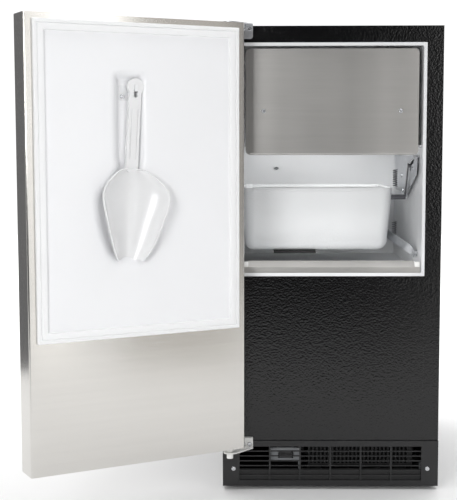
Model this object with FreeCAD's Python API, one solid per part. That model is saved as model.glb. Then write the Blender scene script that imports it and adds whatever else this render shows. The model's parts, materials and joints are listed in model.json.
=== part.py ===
import FreeCAD, Part
import math
import os

# Undercounter clear-ice maker, millimetres. X runs to the right, Y into the cabinet
# from its front face, Z up from the floor. The door is modelled closed, then opened.

V = FreeCAD.Vector
UP = V(0, 0, 1)
RIGHT = V(1, 0, 0)
BACK = V(0, 1, 0)
NEAR = 0.1      # gap between pieces that only lie beside each other
SLIP = 0.5      # gap beside a piece that moves
RUN = 0.05      # radial running clearance of a pin in its hole

# ---- cabinet ----
cab_w = 378.0
cab_d = 555.0
cab_h = 806.0
foot_gap = 6.0
sheet = 1.0
flange_w = 28.0
louvre_h = 81.0
louvre_t = 4.0
open_z = 377.5          # lower edge of the compartment opening
pan_lip = 30.0

# ---- compartment ----
liner_wall = 2.5
liner_depth = 360.0
rim_w = 5.5
rim_t = 3.0
liner_corner = 2.0
foam_t = 40.0
sill_h = 20.0
sill_run = 12.0
drain_r = 9.0
drain_from_back = 25.0

# ---- ice making parts ----
cover_side_gap = 7.2    # from the liner's side to the cover
cover_over_bin = 61.5   # from the bin's rim to the cover
cover_top_gap = 4.5
cover_y = 6.0
cover_t = 1.2
cover_corner = 7.0
cover_return = 12.0
cover_screw_in = 30.7
cover_screw_drop = 106.0
deck_rise = 12.5        # from the cover's lower edge to the deck
deck_t = 4.0
deck_gap = 25.0
cheek_t = 3.0
plate_front = 75.0
plate_back_gap = 55.0
plate_t = 3.0
plate_tilt = 10.0
plate_rise = 106.0
coil_r = 4.0
coil_runs = 6
grid_rise = 40.0
grid_h = 12.0
grid_cells = 9
wire_t = 1.6
trough_h = 42.0
trough_y = 22.0
trough_d = 34.0
pump_r = 15.0
probe_x = -84.0
probe_r = 2.0
probe_rise = 30.0       # sensing bulb above the bin's rim

# ---- tilting bin ----
bin_left_gap = 4.5
bin_right_gap = 35.5
bin_taper = 8.0
bin_floor_gap = 28.0
bin_h = 115.0
bin_front_top = 108.0
bin_front_bottom = 122.0
bin_back_gap = 52.0
bin_wall = 2.5
bin_corner = 20.0
bin_lip = 4.0
bumper_x0 = -96.0
bumper_x1 = -19.0
bumper_r = 2.6
swing_y = 50.0
swing_reach = 9.0       # how far the pivot pins stand into the compartment
swing_rise = 2.0        # pivot above the bin's underside
tilt_range = 15.0
swing_pin_r = 4.0
arm_t = 2.0
arm_w = 16.0
arm_gap = 0.6
arm_bends_y = (66.0, 156.0)
arm_seats_y = (170.0, 192.0)
arm_end_y = 202.0
arm_end_rise = 39.0
bracket_gap = 4.5
bracket_t = 1.5
bracket_back_gap = 54.0
guide_y = 105.0
guide_rise = 40.0       # guide pin above the bin's rim
guide_pin_r = 3.0
slot_gap = 0.3
strap_y = 142.0
strap_drop = 18.0

# ---- door ----
door_t = 48.0
door_gap = 8.0
door_foot_gap = 2.0     # from the louvre to the door's lower edge
door_top_gap = 0.5
skin_t = 0.9
pivot_in = 13.0
pivot_back = 30.0
open_angle = 151.6
hinge_pin_r = 4.0
hinge_leaf_t = 2.0
hinge_tab_t = 1.2
leaf_r = 11.0
leaf_in = 53.0
leaf_tab_w = 22.0
bush_flange = 3.0
bush_wall = 1.45
bush_len = 22.0
top_plate_t = 1.2
gasket_w = 20.0
gasket_t = 6.5
gasket_side = 13.0      # from the door's edge to the gasket
gasket_top = 9.5
gasket_drop = 78.5      # from the opening's lower edge to the gasket
panel_t = 2.0
pocket_depth = 14.0
pocket_x = 17.0

# ---- scoop ----
scoop_top = 710.0
scoop_neck = 568.0
scoop_tip = 422.0
scoop_w = 116.0
scoop_depth = 34.0
scoop_wall = 2.0
scoop_handle_w = 20.0
scoop_handle_t = 7.0
scoop_loop_r = 13.5
scoop_tilt = 3.6        # the scoop hangs a little aside from its peg
peg_x = 6.0
peg_z = 692.0
peg_r = 3.0
holder_t = 2.0
holder_w = 32.0
lift_range = 8.0
hook_rise = 5.0

# ---- handle ----
handle_r = 9.0
handle_reach = 38.0
handle_z0 = 430.0
handle_z1 = 760.0
handle_in = 24.0

# ---- grille and switch ----
grille_side = 29.5
grille_low = 10.5
grille_high = 10.0
grille_posts = 5
grille_rows = 7
grille_screw_in = 19.0
grille_screw_rise = 31.6
post_t = 3.0
slat_t = 1.8
switch_x = -78.0
switch_y = 7.0
switch_z = 60.0
switch_tilt = 7.0
rocker_w = 25.0
rocker_h = 12.0

# ---- machine room ----
fan_x = 55.0
fan_z = 108.0
fan_r = 60.0
fan_hub_r = 15.0
fan_blades = 5
condenser_w = 190.0
condenser_h = 150.0
condenser_d = 38.0
condenser_y = 24.0
shroud_d = 36.0
motor_gap = 8.0
motor_r = 26.0
shaft_r = 3.0
comp_x = -80.0
comp_from_back = 225.0
comp_r = 72.0
comp_h = 165.0
water_x = 110.0
water_z = 60.0
inlet_r = 6.6
inlet_len = 16.0
drain_x = -40.0
drain_z = 42.0
outlet_r = 8.0
outlet_len = 22.0
power_x = 40.0
power_z = 80.0
gland_bore = 4.0
fitting_r = 10.0

# ---- feet and fasteners ----
foot_r = 15.0
foot_pad = 4.0
foot_stem_r = 4.0
foot_in_x = 24.0
foot_in_y = 34.0
foot_travel = 25.0
screw_r = 2.0
screw_len = 7.0
head_r = 4.0
head_h = 2.2

# ---- worked out from the values above ----
half_w = cab_w / 2
half_open = half_w - flange_w
open_top = cab_h - flange_w
inner_half = half_open - rim_w
floor_in = open_z + rim_w
roof_in = open_top - rim_w
inside_half = half_w - sheet
louvre_top = foot_gap + louvre_h
pan_z = foot_gap
foam_z = open_z - foam_t
foam_back = liner_depth + liner_wall + foam_t
grille_x = half_w - grille_side
grille_z0 = foot_gap + grille_low
grille_z1 = louvre_top - grille_high
grille_screw_x = half_w - grille_screw_in
grille_screw_z = foot_gap + grille_screw_rise

bin_x0 = bin_left_gap - inner_half
bin_x1 = inner_half - bin_right_gap
bin_bottom = floor_in + bin_floor_gap
bin_top = bin_bottom + bin_h
bin_y1 = liner_depth - bin_back_gap
swing_z = bin_bottom + swing_rise
arm_end_z = bin_bottom + arm_end_rise
arm_right_x = inner_half - swing_reach + 1.0
guide_z = bin_top + guide_rise
strap_z = bin_top - strap_drop
bracket_x = inner_half - bracket_gap
bracket_end_y = liner_depth - bracket_back_gap
strap_x = bracket_x - bracket_t - head_h - SLIP - arm_t

cover_half_w = inner_half - cover_side_gap
cover_z = bin_top + cover_over_bin
cover_top = roof_in - cover_top_gap
cover_screw_x = cover_half_w - cover_screw_in
cheek_x = cover_screw_x + 0.4
deck_z = cover_z + deck_rise
deck_back = liner_depth - deck_gap
plate_half_w = cheek_x - cheek_t
plate_len = liner_depth - plate_back_gap - plate_front
plate_y = plate_front + plate_len / 2
plate_z = deck_z + plate_rise
grid_z = deck_z + grid_rise
trough_z = deck_z + deck_t * 2

door_inner = -door_gap
door_outer = -door_gap - door_t
door_z = louvre_top + door_foot_gap
door_top = cab_h - door_top_gap
gasket_z = open_z - gasket_drop
pivot = V(-half_w + pivot_in, -(door_gap + pivot_back), 0)
bush_r = hinge_pin_r + bush_flange
bush_room = hinge_pin_r + RUN + bush_wall
panel_half = half_w - gasket_side - gasket_w / 2
panel_z0 = gasket_z + gasket_w / 2
panel_z1 = door_top - gasket_top - gasket_w / 2
leaf_x = leaf_in - half_w
tab_x0 = leaf_x - leaf_tab_w
top_leaf_z = cab_h + 1.4
low_leaf_z = louvre_top - 12.0
low_tab_z = louvre_top + 6.5
low_seat_y = -louvre_t - 0.8
holder_y = door_inner - pocket_depth
scoop_y = holder_y + holder_t + head_h + 1.0
handle_x = half_w - handle_in
handle_y = door_outer - handle_reach

shroud_y0 = condenser_y + condenser_d + NEAR
fan_y = shroud_y0 + shroud_d - 6.1
motor_y = shroud_y0 + shroud_d + motor_gap
comp_y = cab_d - comp_from_back


def box(x0, x1, y0, y1, z0, z1):
    return Part.makeBox(x1 - x0, y1 - y0, z1 - z0, V(x0, y0, z0))


def rod(start, axis, radius, length):
    return Part.makeCylinder(radius, length, start, axis)


def polygon(points):
    return Part.Face(Part.makePolygon(points + [points[0]]))


def prism_x(points, x0, x1):
    """Outline of (y, z) points drawn out along X."""
    return polygon([V(x0, y, z) for y, z in points]).extrude(V(x1 - x0, 0, 0))


def prism_y(points, y0, y1):
    """Outline of (x, z) points drawn out along Y."""
    return polygon([V(x, y0, z) for x, z in points]).extrude(V(0, y1 - y0, 0))


def prism_z(points, z0, z1):
    """Outline of (x, y) points drawn out along Z."""
    return polygon([V(x, y, z0) for x, y in points]).extrude(V(0, 0, z1 - z0))


def along(edge, axis):
    if edge.Curve.TypeId != "Part::GeomLine":
        return False
    return abs(abs(edge.tangentAt(edge.FirstParameter).dot(axis)) - 1) < 1e-6


def round_edges(shape, axis, radius):
    return shape.makeFillet(radius, [e for e in shape.Edges if along(e, axis)])


def fuse(shapes):
    return shapes[0].multiFuse(shapes[1:]).removeSplitter()


def mirrored(shape):
    return shape.mirror(V(0, 0, 0), RIGHT)


def moved(shape, offset):
    copy = shape.copy()
    copy.translate(offset)
    return copy


def turned(shape, centre, axis, degrees):
    copy = shape.copy()
    copy.rotate(centre, axis, degrees)
    return copy


def tube(points, radius, bend, bore=0.0):
    """Round tube through the points, its corners bent to one radius."""
    edges = []
    start = points[0]
    for before, corner, after in zip(points, points[1:], points[2:]):
        u = (before - corner).normalize()
        w = (after - corner).normalize()
        half = math.acos(max(-1, min(1, u.dot(w)))) / 2
        reach = bend / math.tan(half)
        first = corner + u * reach
        last = corner + w * reach
        middle = corner + (u + w).normalize() * (bend / math.sin(half) - bend)
        edges.append(Part.LineSegment(start, first).toShape())
        edges.append(Part.Arc(first, middle, last).toShape())
        start = last
    edges.append(Part.LineSegment(start, points[-1]).toShape())
    path = Part.Wire(edges)
    direction = points[1] - points[0]

    def sweep(r):
        ring = Part.Wire(Part.makeCircle(r, points[0], direction))
        return path.makePipeShell([ring], True, False)

    return sweep(radius).cut(sweep(bore)) if bore else sweep(radius)


def screw(seat, out):
    """Pan-head screw whose head sits on the seat point, with a cross recess."""
    head = rod(seat, out, head_r, head_h)
    head = head.makeFillet(head_h * 0.6, [head.Edges[0] if on_top(head.Edges[0], seat, out)
                                          else head.Edges[2]])
    shank = rod(seat - out * screw_len, out, screw_r, screw_len + head_h / 2)
    side = out.cross(UP if abs(out.dot(UP)) < 0.9 else RIGHT)
    slots = []
    for spin in (0, 90):
        slot = Part.makeBox(head_r * 1.1, 0.8, head_h, V(-head_r * 0.55, -0.4, 0))
        slot.Placement = FreeCAD.Placement(seat + out * (head_h * 0.5),
                                           FreeCAD.Rotation(side, UP, out, "ZXY"))
        slots.append(turned(slot, seat, out, spin))
    return head.fuse(shank).removeSplitter().cut(Part.makeCompound(slots))


def on_top(edge, seat, out):
    return (edge.CenterOfMass - seat).dot(out) > head_h / 2


def holes(seats, out, depth=None):
    length = (screw_len if depth is None else depth) + 1
    return Part.makeCompound([rod(s - out * length, out, screw_r + RUN, length + 1)
                              for s in seats])


def head_rooms(seats, out):
    return Part.makeCompound([rod(s - out, out, head_r + NEAR, head_h + 1 + NEAR)
                              for s in seats])


def opened(shape):
    return turned(shape, pivot, UP, -open_angle)


def save(name, shape):
    shape.exportStep("parts/" + name + ".step")


os.makedirs("parts", exist_ok=True)


# ---- outer cabinet ----
def side_panel():
    web = box(inside_half, half_w, 0, cab_d, foot_gap, cab_h)
    flange = prism_y([(half_open, louvre_top + NEAR), (half_w - NEAR, louvre_top + NEAR),
                      (half_w - NEAR, cab_h - NEAR), (half_open, open_top)], 0, sheet)
    top_room = box(0, inside_half, 0, sheet, cab_h - sheet - NEAR, cab_h)
    return web.fuse(flange.cut(top_room)).removeSplitter()


def top_panel():
    web = box(-inside_half + NEAR, inside_half - NEAR, 0, cab_d, cab_h - sheet, cab_h)
    mitre = NEAR * 2
    low = half_open - mitre
    flange = prism_y([(-low, open_top), (low, open_top), (inside_half - NEAR - mitre,
                      cab_h - sheet - mitre - NEAR), (inside_half - NEAR - mitre, cab_h),
                      (mitre + NEAR - inside_half, cab_h),
                      (mitre + NEAR - inside_half, cab_h - sheet - mitre - NEAR)], 0, sheet)
    return web.fuse(flange).removeSplitter().cut(holes(hinge_seats[:2], -BACK))


def lower_front_panel():
    return box(-half_open + NEAR, half_open - NEAR, 0, sheet, louvre_top + NEAR, open_z - NEAR)


def rear_panel():
    panel = box(-inside_half + NEAR, inside_half - NEAR, cab_d - sheet, cab_d,
                pan_z + pan_lip + NEAR * 5, cab_h - sheet - NEAR)
    cuts = [rod(V(x, cab_d - 5, z), BACK, fitting_r + NEAR, 10)
            for x, z in ((water_x, water_z), (drain_x, drain_z), (power_x, power_z))]
    vents = [box(-120 + 40 * n, -96 + 40 * n, cab_d - 5, cab_d + 5, z, z + 4)
             for n in range(7) for z in range(130, 301, 17)]
    return panel.cut(Part.makeCompound(cuts + vents))


foot_places = [(sx * (half_w - foot_in_x), y) for sx in (-1, 1)
               for y in (foot_in_y, cab_d - foot_in_y)]


def base_pan():
    outer = box(-inside_half + NEAR, inside_half - NEAR, NEAR, cab_d - NEAR, pan_z,
                pan_z + pan_lip)
    inner = box(-inside_half + NEAR + sheet, inside_half - NEAR - sheet, NEAR + sheet,
                cab_d - NEAR - sheet, pan_z + sheet, pan_z + pan_lip + 1)
    pan = outer.cut(inner)
    tabs = [box(x - 8, x + 8, NEAR, NEAR + sheet, pan_z + pan_lip - 2, grille_screw_z + 9)
            for x in (-grille_screw_x, grille_screw_x)]
    stems = [rod(V(x, y, pan_z - 1), UP, foot_stem_r + RUN, 4) for x, y in foot_places]
    drains = [rod(V(drain_x, cab_d - 5, drain_z), BACK, fitting_r + NEAR, 10)]
    pan = fuse([pan] + tabs).cut(Part.makeCompound(stems + drains))
    return pan.cut(holes(grille_seats, -BACK))


grille_seats = [V(x, -louvre_t, grille_screw_z) for x in (-grille_screw_x, grille_screw_x)]
foam_block = box(-inside_half + NEAR, inside_half - NEAR, sheet + NEAR, foam_back,
                 foam_z, cab_h - sheet - NEAR)


# ---- compartment ----
def liner_outer():
    shell = box(-inner_half - liner_wall, inner_half + liner_wall, NEAR, liner_depth + liner_wall,
                floor_in - liner_wall, roof_in + liner_wall)
    return round_edges(shell, BACK, liner_corner + liner_wall)


drain_seat = V(drain_x, liner_depth - drain_from_back, floor_in)
bracket_seats = [V(bracket_x, y, bin_top + rise) for y, rise in ((72, 35), (207, 20), (188, -8))]


def liner():
    hollow = round_edges(box(-inner_half, inner_half, -5, liner_depth, floor_in, roof_in),
                         BACK, liner_corner)
    rim = box(-half_open + NEAR, half_open - NEAR, NEAR, rim_t, open_z + NEAR, open_top - NEAR)
    shell = liner_outer().fuse(rim).removeSplitter().cut(hollow)
    drain = rod(drain_seat - UP * 6, UP, drain_r - 2, 12)
    pins = [rod(V(sx * (inner_half - 1), swing_y, swing_z), RIGHT * sx, swing_pin_r + RUN,
                liner_wall + 2) for sx in (-1, 1)]
    return shell.cut(Part.makeCompound([drain] + pins)).cut(holes(bracket_seats, -RIGHT, 9))


def insulation_foam():
    room = [liner_outer().fuse(box(-half_open, half_open, 0, rim_t + NEAR, open_z, open_top))]
    room.append(rod(V(drain_seat.x, drain_seat.y, foam_z - 1), UP, drain_r + NEAR, foam_t + 10))
    room += [rod(V(sx * inner_half, swing_y, swing_z), RIGHT * sx, swing_pin_r + RUN, 12)
             for sx in (-1, 1)]
    block = foam_block.cut(Part.makeCompound(room)).cut(holes(bracket_seats, -RIGHT, 9))
    return block.cut(holes(hinge_seats[:2], -BACK))


def sill_trim():
    t = 1.0
    y0 = rim_t + NEAR
    low = floor_in + NEAR
    mid = low + sill_h / 2
    top = low + sill_h
    lower = prism_x([(y0, low), (y0 + t, low), (y0 + t, mid), (y0, mid)],
                    liner_corner + NEAR - inner_half, inner_half - liner_corner - NEAR)
    end = inner_half - 11.0
    upper = prism_x([(y0, mid), (y0 + sill_run, top), (y0 + sill_run + 9, low),
                     (y0 + sill_run + 8, low), (y0 + sill_run, top - t * 2.2), (y0 + t, mid)],
                    -end, end)
    return lower.fuse(upper).removeSplitter()


cover_seats = [V(x, cover_y, cover_top - cover_screw_drop)
               for x in (-cover_screw_x, cover_screw_x)]


def evaporator_cover():
    outer = round_edges(box(-cover_half_w, cover_half_w, cover_y, cover_y + cover_return,
                            cover_z, cover_top), BACK, cover_corner)
    inner = round_edges(box(-cover_half_w + cover_t, cover_half_w - cover_t,
                            cover_y + cover_t, cover_y + cover_return + 1,
                            cover_z + cover_t, cover_top - cover_t),
                        BACK, cover_corner - cover_t)
    hem = rod(V(-cover_half_w + cover_corner, cover_y + cover_t, cover_z + cover_t), RIGHT,
              cover_t * 1.5, 2 * (cover_half_w - cover_corner))
    return outer.cut(inner).fuse(hem).removeSplitter().cut(holes(cover_seats, -BACK))


def evaporator_frame():
    front = cover_y + cover_return + NEAR
    deck = box(-inner_half + NEAR, inner_half - NEAR, front, deck_back, deck_z, deck_z + deck_t)
    chute = box(-plate_half_w + 8, plate_half_w - 8, trough_y + trough_d + 8,
                plate_y + plate_len / 2 - 6, deck_z - 1, deck_z + deck_t + 1)
    pieces = [deck.cut(chute)]
    for sx in (-1, 1):
        cheek = box(cheek_x, cheek_x + cheek_t, front + 42, deck_back - 20, deck_z + deck_t,
                    roof_in - 8)
        post = box(cover_screw_x - 8, cover_screw_x + 8, cover_y + cover_t + NEAR, front + 3,
                   deck_z, cover_seats[0].z + 10)
        pieces.append(cheek if sx > 0 else mirrored(cheek))
        pieces.append(post if sx > 0 else mirrored(post))
    return fuse(pieces).cut(holes(cover_seats, -BACK))


def compartment_screws():
    return Part.makeCompound([screw(s, -BACK) for s in cover_seats]
                             + [screw(s, -RIGHT) for s in bracket_heads])


plate_centre = V(0, plate_y, plate_z)


def evaporator_plate():
    plate = box(-plate_half_w, plate_half_w, plate_y - plate_len / 2, plate_y + plate_len / 2,
                plate_z, plate_z + plate_t)
    sides = [box(x - 1, x + 1, plate_y - plate_len / 2, plate_y + plate_len / 2, plate_z,
                 plate_z + 9) for x in (-plate_half_w + 1, plate_half_w - 1)]
    return turned(fuse([plate] + sides), plate_centre, RIGHT, plate_tilt)


def evaporator_coil():
    pitch = (plate_len - 40) / (coil_runs - 1)
    end = plate_half_w - 12 - pitch / 2
    z = plate_z - coil_r - NEAR
    pieces = []
    for n in range(coil_runs):
        y = plate_y - plate_len / 2 + 20 + n * pitch
        pieces.append(rod(V(-end, y, z), RIGHT, coil_r, 2 * end))
        if n < coil_runs - 1:
            side = 1 if n % 2 == 0 else -1
            bend = Part.makeTorus(pitch / 2, coil_r, V(side * end, y + pitch / 2, z), UP)
            keep = box(0, pitch, -pitch, pitch, -9, 9)
            keep = keep if side > 0 else mirrored(keep)
            pieces.append(bend.common(moved(keep, V(side * end, y + pitch / 2, z))))
    return turned(fuse(pieces), plate_centre, RIGHT, plate_tilt)


def cutter_grid():
    y0 = plate_y - plate_len / 2 + 10
    y1 = plate_y + plate_len / 2
    edge = 8.0
    outer = box(-plate_half_w, plate_half_w, y0, y1, grid_z, grid_z + grid_h)
    inner = box(-plate_half_w + edge, plate_half_w - edge, y0 + edge, y1 - edge, grid_z - 1,
                grid_z + grid_h + 1)
    pieces = [outer.cut(inner)]
    mid = grid_z + grid_h / 2
    for n in range(1, grid_cells):
        x = -plate_half_w + edge + n * 2 * (plate_half_w - edge) / grid_cells
        y = y0 + edge + n * (y1 - y0 - 2 * edge) / grid_cells
        pieces.append(box(x - wire_t / 2, x + wire_t / 2, y0 + 2, y1 - 2, mid, mid + wire_t))
        pieces.append(box(-plate_half_w + 2, plate_half_w - 2, y - wire_t / 2, y + wire_t / 2,
                          mid - wire_t, mid))
    return fuse(pieces)


def water_trough():
    end = cover_screw_x - 12
    outer = box(-end, end, trough_y, trough_y + trough_d, trough_z, trough_z + trough_h)
    inner = box(-end + 2, end - 2, trough_y + 2, trough_y + trough_d - 2, trough_z + 2,
                trough_z + trough_h + 1)
    foot = box(-end, end, trough_y + 8, trough_y + trough_d - 8, deck_z + deck_t + NEAR / 2,
               trough_z)
    return round_edges(outer, RIGHT, 6).cut(round_edges(inner, RIGHT, 4)).fuse(foot)


pump_at = V(inner_half - pump_r - 4, trough_y + 24, deck_z + deck_t + NEAR / 2)
spray = V(0, plate_y + plate_len / 2 - 8, roof_in - 8 - 12)


def circulation_pump():
    body = rod(pump_at, UP, pump_r, 44)
    cap = rod(pump_at + UP * 44, UP, pump_r * 0.7, 8)
    spout = rod(pump_at + UP * 52, UP, 4, 12)
    return fuse([body, cap, spout])


def water_tube():
    pipe = rod(spray - RIGHT * (plate_half_w - 6), RIGHT, 7, 2 * plate_half_w - 12)
    nipple = rod(spray + RIGHT * (plate_half_w - 8), RIGHT, 4, cheek_x + cheek_t + 8 - plate_half_w)
    jets = [rod(V(x, spray.y, spray.z), V(0, -1, -1), 1, 14)
            for x in range(-96, 97, 16)]
    return pipe.fuse(nipple).removeSplitter().cut(Part.makeCompound(jets))


def pump_hose():
    top = pump_at + UP * 64.2
    x = pump_at.x
    end = V(cheek_x + cheek_t + NEAR, spray.y, spray.z)
    reach = V(x, spray.y, spray.z)
    return tube([top, V(x, top.y, spray.z), reach, end + RIGHT * 0.2], 5, 7)


def spray_hole(shape):
    return shape.cut(rod(spray + RIGHT * (plate_half_w - 10), RIGHT, 4 + NEAR, 30))


# ---- tilting bin and its mechanism ----
swing = V(0, swing_y, swing_z)
guide_radius = math.hypot(guide_y - swing_y, guide_z - swing_z)
guide_angle = math.degrees(math.atan2(guide_z - swing_z, guide_y - swing_y))


def ring_point(x, radius, degrees):
    a = math.radians(degrees)
    return V(x, swing_y + radius * math.cos(a), swing_z + radius * math.sin(a))


def slot_around_swing(x0, x1, half, start, stop):
    """Curved slot for a pin that turns about the bin's pivot."""
    r0 = guide_radius - half
    r1 = guide_radius + half
    extra = math.degrees(half / guide_radius)
    mid = (start + stop) / 2
    edges = [Part.Arc(ring_point(x0, r1, start), ring_point(x0, r1, mid),
                      ring_point(x0, r1, stop)),
             Part.Arc(ring_point(x0, r1, stop), ring_point(x0, guide_radius, stop + extra),
                      ring_point(x0, r0, stop)),
             Part.Arc(ring_point(x0, r0, stop), ring_point(x0, r0, mid),
                      ring_point(x0, r0, start)),
             Part.Arc(ring_point(x0, r0, start), ring_point(x0, guide_radius, start - extra),
                      ring_point(x0, r1, start))]
    face = Part.Face(Part.Wire([e.toShape() for e in edges]))
    return face.extrude(V(x1 - x0, 0, 0))


def bin_bracket():
    x0 = bracket_x - bracket_t
    top = cover_z - 3.5
    end = bracket_end_y
    plate = prism_x([(swing_y - 20, top), (swing_y - 12, bin_top + 25), (158, bin_top - 19),
                     (190, bin_top - 11), (end - 8, bin_top - 10), (end, top)], x0, bracket_x)
    plate = round_edges(plate, RIGHT, 4)
    slot = slot_around_swing(x0 - 1, bracket_x + 1, guide_pin_r + slot_gap, guide_angle,
                             guide_angle + tilt_range)
    spacers = [rod(s, RIGHT, head_r, inner_half - bracket_x - NEAR) for s in bracket_seats]
    lip = box(bracket_x, inner_half - 1, 40, end - 10, top - 1 - bracket_t, top - 1)
    return fuse([plate, lip] + spacers).cut(slot).cut(holes(bracket_heads, -RIGHT, 12))


bracket_heads = [V(bracket_x - bracket_t, s.y, s.z) for s in bracket_seats]


def bin_pivot_pins():
    pins = []
    for sx in (-1, 1):
        reach = swing_reach if sx > 0 else 5.2
        pin = rod(V(sx * (inner_half + liner_wall + 4), swing_y, swing_z), RIGHT * -sx,
                  swing_pin_r, reach + liner_wall + 4)
        collar = rod(V(sx * (inner_half - NEAR), swing_y, swing_z), RIGHT * -sx,
                     swing_pin_r + 2, 1)
        pins.append(fuse([pin, collar]))
    return Part.makeCompound(pins)


def bin_solid(grow, top):
    """Tub form with a leaning front and a right side that closes in towards the floor."""
    lean = bin_front_bottom - bin_front_top
    rows = []
    for z in (bin_bottom - grow, top):
        share = (z - bin_bottom) / (bin_top - bin_bottom)
        front = bin_front_bottom - lean * share - grow
        inset = bin_taper * (1 - share) - grow
        left = bin_x0 - grow
        right = bin_x1 - inset
        rows.append([V(left, front, z), V(right, front, z),
                     V(right, bin_y1 + grow, z), V(left, bin_y1 + grow, z)])
    wires = [Part.makePolygon(r + [r[0]]) for r in rows]
    solid = Part.makeLoft(wires, True, True)
    low = [e for e in solid.Edges if e.CenterOfMass.z < top - 1]
    return solid.makeFillet(bin_corner + grow, low)


def bin_tub():
    shell = bin_solid(0, bin_top).cut(bin_solid(-bin_wall, bin_top + 2))
    roll = bin_lip / 2
    y0 = bin_front_top + 0.5
    lip = rod(V(bin_x0 + bin_corner, y0, bin_top), RIGHT, roll,
              bin_x1 - bin_x0 - 2 * bin_corner)
    return shell.fuse(lip).cut(bin_screw_holes())


def arm_profile(x0, x1):
    """Flat arm from the pivot back to the tub's side, as a rounded bar."""
    end = V(0, arm_end_y, arm_end_z)
    reach = end - swing
    side = V(0, -reach.z, reach.y).normalize() * (arm_w / 2)
    bar = prism_x([((swing + side).y, (swing + side).z), ((end + side).y, (end + side).z),
                   ((end - side).y, (end - side).z), ((swing - side).y, (swing - side).z)],
                  x0, x1)
    ends = [rod(V(x0, p.y, p.z), RIGHT, arm_w / 2, x1 - x0) for p in (swing, end)]
    return fuse([bar] + ends)


def arm_line_z(y):
    return swing_z + (y - swing_y) * (arm_end_z - swing_z) / (arm_end_y - swing_y)


def side_x(z):
    share = (z - bin_bottom) / (bin_top - bin_bottom)
    return bin_x1 - bin_taper * (1 - share)


def bin_arm_right():
    """Flat strip from the wall's pivot, bent in twice to lie along the tub's side."""
    xa = arm_right_x
    xb = side_x(arm_end_z + arm_w / 2) + arm_gap
    first, second = arm_bends_y
    front = swing_y - arm_w
    back = arm_end_y + arm_w
    t = arm_t
    plan = prism_z([(xa, front), (xa + t, front), (xa + t, first), (xb + t, second + t),
                    (xb + t, back), (xb, back), (xb, second), (xa, first - t)],
                   swing_z - arm_w, arm_end_z + arm_w)
    strip = plan.common(arm_profile(xb - 1, xa + t + 1))
    pads = [rod(V(side_x(arm_line_z(y)) + SLIP, y, arm_line_z(y)), RIGHT, 5,
                xb + t / 2 - side_x(arm_line_z(y)) - SLIP) for y in arm_seats_y]
    bore = rod(V(xa - 5, swing_y, swing_z), RIGHT, swing_pin_r + RUN, 20)
    return fuse([strip] + pads).cut(bore).cut(bin_screw_holes())


def bin_arm_left():
    x0 = bin_x0 - arm_gap - arm_t
    arm = arm_profile(x0, x0 + arm_t)
    bore = rod(V(x0 - 5, swing_y, swing_z), RIGHT, swing_pin_r + RUN, 20)
    pads = [rod(V(x0 + arm_t / 2, y, arm_line_z(y)), RIGHT, 5,
                arm_t / 2 + arm_gap - NEAR) for y in arm_seats_y]
    return fuse([arm] + pads).cut(bore).cut(bin_screw_holes())


def bin_screw_seats():
    seats = [V(side_x(arm_line_z(y)) - bin_wall - 0.6, y, arm_line_z(y)) for y in arm_seats_y]
    seats.append(V(side_x(strap_z) - bin_wall - 0.6, strap_y, strap_z))
    return seats


def bin_left_seats():
    return [V(bin_x0 + bin_wall + 0.6, s.y, s.z) for s in bin_screw_seats()[:2]]


def bin_screw_holes():
    return Part.makeCompound([holes(bin_screw_seats(), -RIGHT), holes(bin_left_seats(), RIGHT)])


def bin_screws():
    return Part.makeCompound([screw(s, -RIGHT) for s in bin_screw_seats()]
                             + [screw(s, RIGHT) for s in bin_left_seats()])


def bin_guide():
    """Strap on the tub's top corner that carries the guide pin in the bracket's slot."""
    x0 = strap_x
    a = V(0, strap_y, strap_z)
    b = V(0, guide_y, guide_z)
    side = V(0, -(b - a).z, (b - a).y).normalize() * 4
    strap = prism_x([((p + s).y, (p + s).z) for p, s in
                     ((a, side), (b, side), (b, -side), (a, -side))], x0, x0 + arm_t)
    ends = [rod(V(x0, p.y, p.z), RIGHT, 4.5, arm_t) for p in (a, b)]
    pin = rod(V(x0 + arm_t / 2, guide_y, guide_z), RIGHT, guide_pin_r,
              bracket_x - strap_x - arm_t / 2 + 1.5)
    base = side_x(strap_z) + 0.5
    stud = rod(V(base, a.y, a.z), RIGHT, 4.5, x0 - base + 0.5)
    return fuse([strap, pin, stud] + ends).cut(bin_screw_holes())


def bin_seal():
    """Soft black bumper strip under the front edge of the tub."""
    y = bin_front_bottom + bin_corner
    z = bin_bottom - NEAR
    strip = box(bumper_x0, bumper_x1, y - 12, y + 10, z - 2, z)
    bead = rod(V(bumper_x0, y - 13, z - 3), RIGHT, bumper_r, bumper_x1 - bumper_x0)
    return strip.fuse(bead).removeSplitter()


def bin_thermostat():
    """Small sensing bulb in its clip on the compartment's rear wall."""
    y = liner_depth - NEAR
    z = bin_top + probe_rise
    bulb = rod(V(probe_x - 4, y - 4, z), RIGHT, probe_r, 8)
    clip = box(probe_x - 2, probe_x + 2, y - 4, y, z - 3, z + 3)
    return fuse([bulb, clip])


# ---- hinges ----
def leaf(z0, y_root):
    """Flat hinge leaf from the cabinet's face to the pivot."""
    x, y = pivot.x, pivot.y
    bar = prism_z([(x - leaf_r, y), (x, y - leaf_r), (x + leaf_r, y - leaf_r * 0.6),
                   (leaf_x, y_root - 4), (leaf_x, y_root), (tab_x0 - 8, y_root),
                   (x - leaf_r, y + 4)], z0, z0 + hinge_leaf_t)
    return bar.fuse(rod(V(x, y, z0), UP, leaf_r, hinge_leaf_t)).removeSplitter()


hinge_seats = [V(leaf_x - 6, -hinge_tab_t, cab_h - 5), V(leaf_x - 17, -hinge_tab_t, cab_h - 5),
               V(leaf_x - 6, low_seat_y, louvre_top - 5),
               V(leaf_x - 17, low_seat_y, louvre_top - 5)]


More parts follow.
